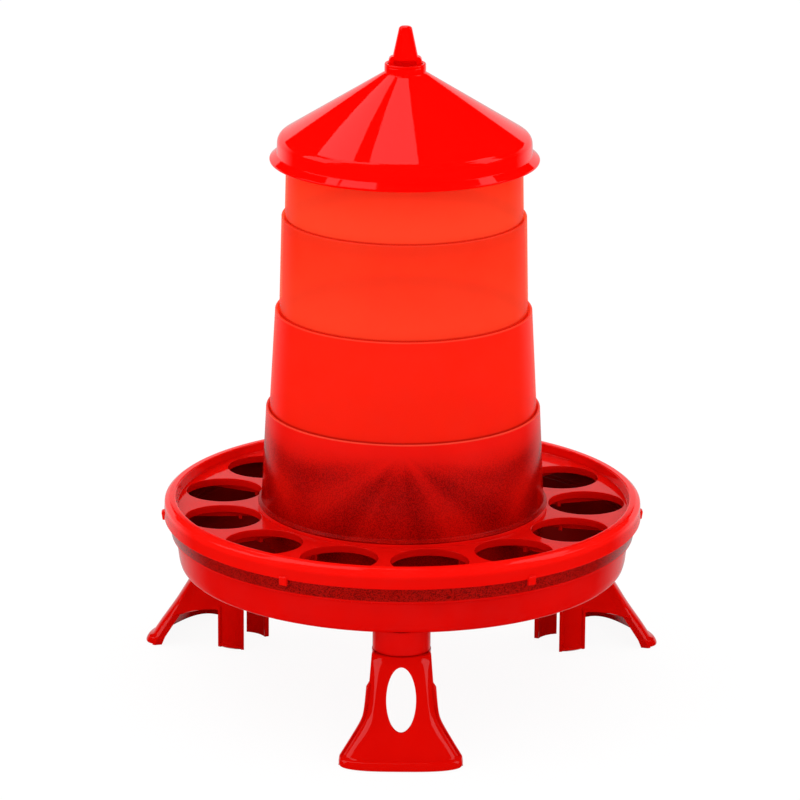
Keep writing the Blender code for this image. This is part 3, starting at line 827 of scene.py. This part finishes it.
def make_leg_shell():
    """The flared shell as two skins, joined along the top, the foot and every arch."""
    columns = leg_columns()
    count = len(columns)
    heights_at = [leg_rows(a) for a in columns]
    row_count = len(heights_at[0])
    bm = bmesh.new()
    skins = []
    for inward in (0.0, LEG_T):
        skin = []
        for angle, levels in zip(columns, heights_at):
            line = []
            for z in levels:
                t, r = leg_point(angle, z, raised(angle, z) if not inward else -inward)
                line.append(bm.verts.new(Vector((t, -r, z)) * MM))
            skin.append(line)
        skins.append(skin)
    outer, inner = skins

    def solid(i, j):
        """Whether the shell has material between columns i and i + 1, and rows j and j + 1."""
        if j < 0 or j >= row_count - 1:
            return False
        middle = abs(columns[i] + columns[(i + 1) % count]) / 2.0 if i < count - 1 else 178.0
        in_window = PLATE_HALF < middle < POST_FROM or middle > POST_TO
        return j < ARCH_ROW or not in_window

    for i in range(count):
        right = (i + 1) % count
        for j in range(row_count - 1):
            if not solid(i, j):
                continue
            for skin in (outer, inner):
                bm.faces.new((skin[i][j], skin[right][j], skin[right][j + 1], skin[i][j + 1]))
            for other, first, second in ((solid(i, j - 1), (i, j), (right, j)),
                                         (solid(i, j + 1), (i, j + 1), (right, j + 1)),
                                         (solid((i - 1) % count, j), (i, j), (i, j + 1)),
                                         (solid(right, j), (right, j), (right, j + 1))):
                if not other:
                    a, b = first
                    c, d = second
                    bm.faces.new((outer[a][b], outer[c][d], inner[c][d], inner[a][b]))
    unused = [v for v in bm.verts if not v.link_faces]
    bmesh.ops.delete(bm, geom=unused, context="VERTS")
    bmesh.ops.recalc_face_normals(bm, faces=bm.faces)
    return bm


def cut_oval(mesh):
    """Cut the oval opening through the plate."""
    cutter_bm = bmesh.new()
    ellipse = [(OVAL[0] * cos(tau * k / OVAL_STEPS), OVAL_Z + OVAL[1] * sin(tau * k / OVAL_STEPS))
               for k in range(OVAL_STEPS)]
    prism(cutter_bm, ellipse, LEG_R + 8.0, LEG_R + 110.0, lambda x, z, r: Vector((x, -r, z)) * MM, 0.0)
    cutter_mesh = bpy.data.meshes.new("oval")
    cutter_bm.to_mesh(cutter_mesh)
    cutter_bm.free()
    blank = bpy.data.objects.new("blank", mesh)
    cutter = bpy.data.objects.new("cutter", cutter_mesh)
    for obj in (blank, cutter):
        bpy.context.scene.collection.objects.link(obj)
    boolean = blank.modifiers.new("oval", "BOOLEAN")
    boolean.object = cutter
    boolean.operation = "DIFFERENCE"
    boolean.solver = "EXACT"
    bpy.context.view_layer.update()
    graph = bpy.context.evaluated_depsgraph_get()
    result = bpy.data.meshes.new_from_object(blank.evaluated_get(graph))
    for obj in (blank, cutter):
        bpy.data.objects.remove(obj)
    return result


def make_legs(material):
    """One leg with its plug and the web between plug and shell, turned to the three places."""
    shell = make_leg_shell()
    collar = rounded([(PLUG_R - 2.2, -3.0, 0.6), (PLUG_R, -3.0, 0.6), (PLUG_R, SOCKET_Z - 1.4),
                      (PLUG_R - 2.2, SOCKET_Z - 1.4)])
    turned(shell, collar, PLUG_STEPS, centre=(0.0, -LEG_R))
    floor_z = SOCKET_Z - GAP
    web = rounded([(PLUG_R - 2.0, floor_z - 2.2), (TUBE_R - 0.6, floor_z - 2.2), (TUBE_R - 0.6, floor_z),
                   (PLUG_R - 2.0, floor_z)])
    turned(shell, web, PLUG_STEPS, centre=(0.0, -LEG_R))
    mesh = bpy.data.meshes.new("leg")
    shell.to_mesh(mesh)
    shell.free()
    mesh = cut_oval(mesh)
    for node, degrees in LEG_ANGLES.items():
        bm = bmesh.new()
        bm.from_mesh(mesh)
        turn = Matrix.Rotation(radians(degrees), 3, "Z")
        bmesh.ops.rotate(bm, verts=bm.verts, cent=(0, 0, 0), matrix=turn)
        piece(node.replace("leg_", "foot_"), bm, material, node, node, slot="leg_plastic")


# --------------------------------------------------------------------- stage

def make_floor():
    """White to the eye, with only a trace of shadow; mirrored surfaces see the room instead of it."""
    bm = bmesh.new()
    bmesh.ops.create_grid(bm, x_segments=1, y_segments=1, size=6.0)
    mesh = bpy.data.meshes.new("floor")
    bm.to_mesh(mesh)
    bm.free()
    floor = bpy.data.objects.new("floor", mesh)
    floor.location.z = FLOOR_Z * MM
    floor.visible_glossy = False
    bpy.context.scene.collection.objects.link(floor)
    paint = bpy.data.materials.new("floor_white")
    paint.use_nodes = True
    tree = paint.node_tree
    shader = tree.nodes["Principled BSDF"]
    shader.inputs["Base Color"].default_value = (0.93, 0.93, 0.93, 1.0)
    shader.inputs["Roughness"].default_value = 0.9
    shader.inputs["Specular IOR Level"].default_value = 0.0
    white = node_at(tree, "ShaderNodeEmission", Strength=1.0)
    seen = tree.nodes.new("ShaderNodeLightPath").outputs["Is Camera Ray"]
    both = tree.nodes.new("ShaderNodeMixShader")
    tree.links.new(math(tree, "MULTIPLY", seen, FLOOR_SEEN_WHITE), both.inputs[0])
    tree.links.new(shader.outputs[0], both.inputs[1])
    tree.links.new(white.outputs[0], both.inputs[2])
    tree.links.new(both.outputs[0], tree.nodes["Material Output"].inputs["Surface"])
    mesh.materials.append(paint)


def make_panel(name, where, size, target=None):
    """A rectangular studio light that faces a target, or straight down."""
    data = bpy.data.lights.new(name, "AREA")
    data.shape = "RECTANGLE"
    data.size, data.size_y = size
    data.energy = PANEL_RADIANCE * pi * size[0] * size[1]
    light = bpy.data.objects.new(name, data)
    light.location = where
    if target:
        light.rotation_euler = (Vector(target) - Vector(where)).to_track_quat("-Z", "Y").to_euler()
    bpy.context.scene.collection.objects.link(light)


def make_world():
    """A white backdrop for the eye, an even dome for shading, and a dark room for reflections.

    The room has a bright horizon at the rear.
    """
    world = bpy.data.worlds.new("studio")
    bpy.context.scene.world = world
    world.use_nodes = True
    tree = world.node_tree
    tree.nodes.clear()
    place = tree.nodes.new("ShaderNodeTexCoord").outputs["Generated"]
    split = tree.nodes.new("ShaderNodeSeparateXYZ")
    tree.links.new(place, split.inputs[0])
    low = mapped(tree, split.outputs["Z"], 0.305, 0.33, 1.0, 0.0)
    rear = mapped(tree, split.outputs["Y"], 0.45, 0.85, 0.0, 1.0)
    horizon = math(tree, "MULTIPLY", math(tree, "MULTIPLY", low, rear), 0.62)
    path = tree.nodes.new("ShaderNodeLightPath")
    even = mixed(tree, path.outputs["Is Glossy Ray"], (DOME, DOME, DOME, 1.0), horizon)
    shown = mixed(tree, path.outputs["Is Camera Ray"], even, (1.0, 1.0, 1.0, 1.0))
    background = tree.nodes.new("ShaderNodeBackground")
    tree.links.new(shown, background.inputs["Color"])
    output = tree.nodes.new("ShaderNodeOutputWorld")
    tree.links.new(background.outputs[0], output.inputs["Surface"])


def make_camera():
    """A long lens, slightly above the feeder."""
    data = bpy.data.cameras.new("camera")
    data.sensor_width = SENSOR
    data.lens = LENS
    camera = bpy.data.objects.new("camera", data)
    distance, elevation, pitch = 4.1, radians(18.0), radians(16.64)
    yaw, roll = radians(-0.039), radians(0.363)
    skirt = Vector((0.0, 0.0, SKIRT_Z * MM))
    camera.location = skirt + Vector((0.0, -distance * cos(elevation), distance * sin(elevation)))
    aim = Matrix.Rotation(-yaw, 4, "Z") @ Matrix.Rotation(pi / 2 - pitch, 4, "X")
    camera.rotation_euler = (aim @ Matrix.Rotation(roll, 4, "Z")).to_euler()
    data.clip_end = 50.0
    bpy.context.scene.collection.objects.link(camera)
    bpy.context.scene.camera = camera


def make_studio():
    make_floor()
    make_world()
    make_panel("over_centre", (-0.147, 0.82, 2.4), (0.681, 1.6))
    make_panel("over_left", (-1.011, 1.20, 2.4), (0.582, 1.6))
    make_panel("low_left", (-1.175, -0.05, 2.4), (1.45, 0.80))
    make_panel("low_right", (1.68, 0.47, 2.4), (0.86, 1.1))
    make_panel("left", (-2.1, -0.05, 1.5), (1.30, 1.35), (0.0, -0.15, -0.05))
    make_panel("right", (2.1, -0.12, 1.5), (0.95, 1.25), (0.0, -0.15, -0.05))
    bpy.context.scene.view_settings.view_transform = "Standard"


def main():
    make_camera()
    shell = shell_material()
    make_pan(pan_material())
    make_feed_cone(cone_material())
    make_feed_ring(ring_material())
    # The four modules are one plastic; their reds, deeper low down and more orange higher up, are painted
    # light for the light that comes through each wall.
    make_hopper({
        "base": hopper_material("hopper_base_red", (1.0, 0.010, 0.004, 1.0), (0.95, 0.006, 0.002, 1.0),
                                COLLAR_TOP_Z, SEAM_Z[0], 0.14, foot=(SEAM_Z[0] - 37.0, SEAM_Z[0] - 7.0)),
        "lower": hopper_material("hopper_lower_red", (1.0, 0.022, 0.006, 1.0), (1.0, 0.017, 0.005, 1.0),
                                 SEAM_Z[0], SEAM_Z[1], 0.36),
        "middle": hopper_material("hopper_middle_red", (1.0, 0.088, 0.028, 1.0), (1.0, 0.070, 0.022, 1.0),
                                  SEAM_Z[1], SEAM_Z[2], 0.56, 0.5),
        "top": hopper_material("hopper_top_red", (1.0, 0.092, 0.030, 1.0), (1.0, 0.075, 0.024, 1.0),
                               SEAM_Z[2], HOPPER_TOP_Z, 0.56, 0.7),
    })
    make_lid(shell)
    make_hanger(shell)
    make_legs(leg_material())
    make_studio()


main()
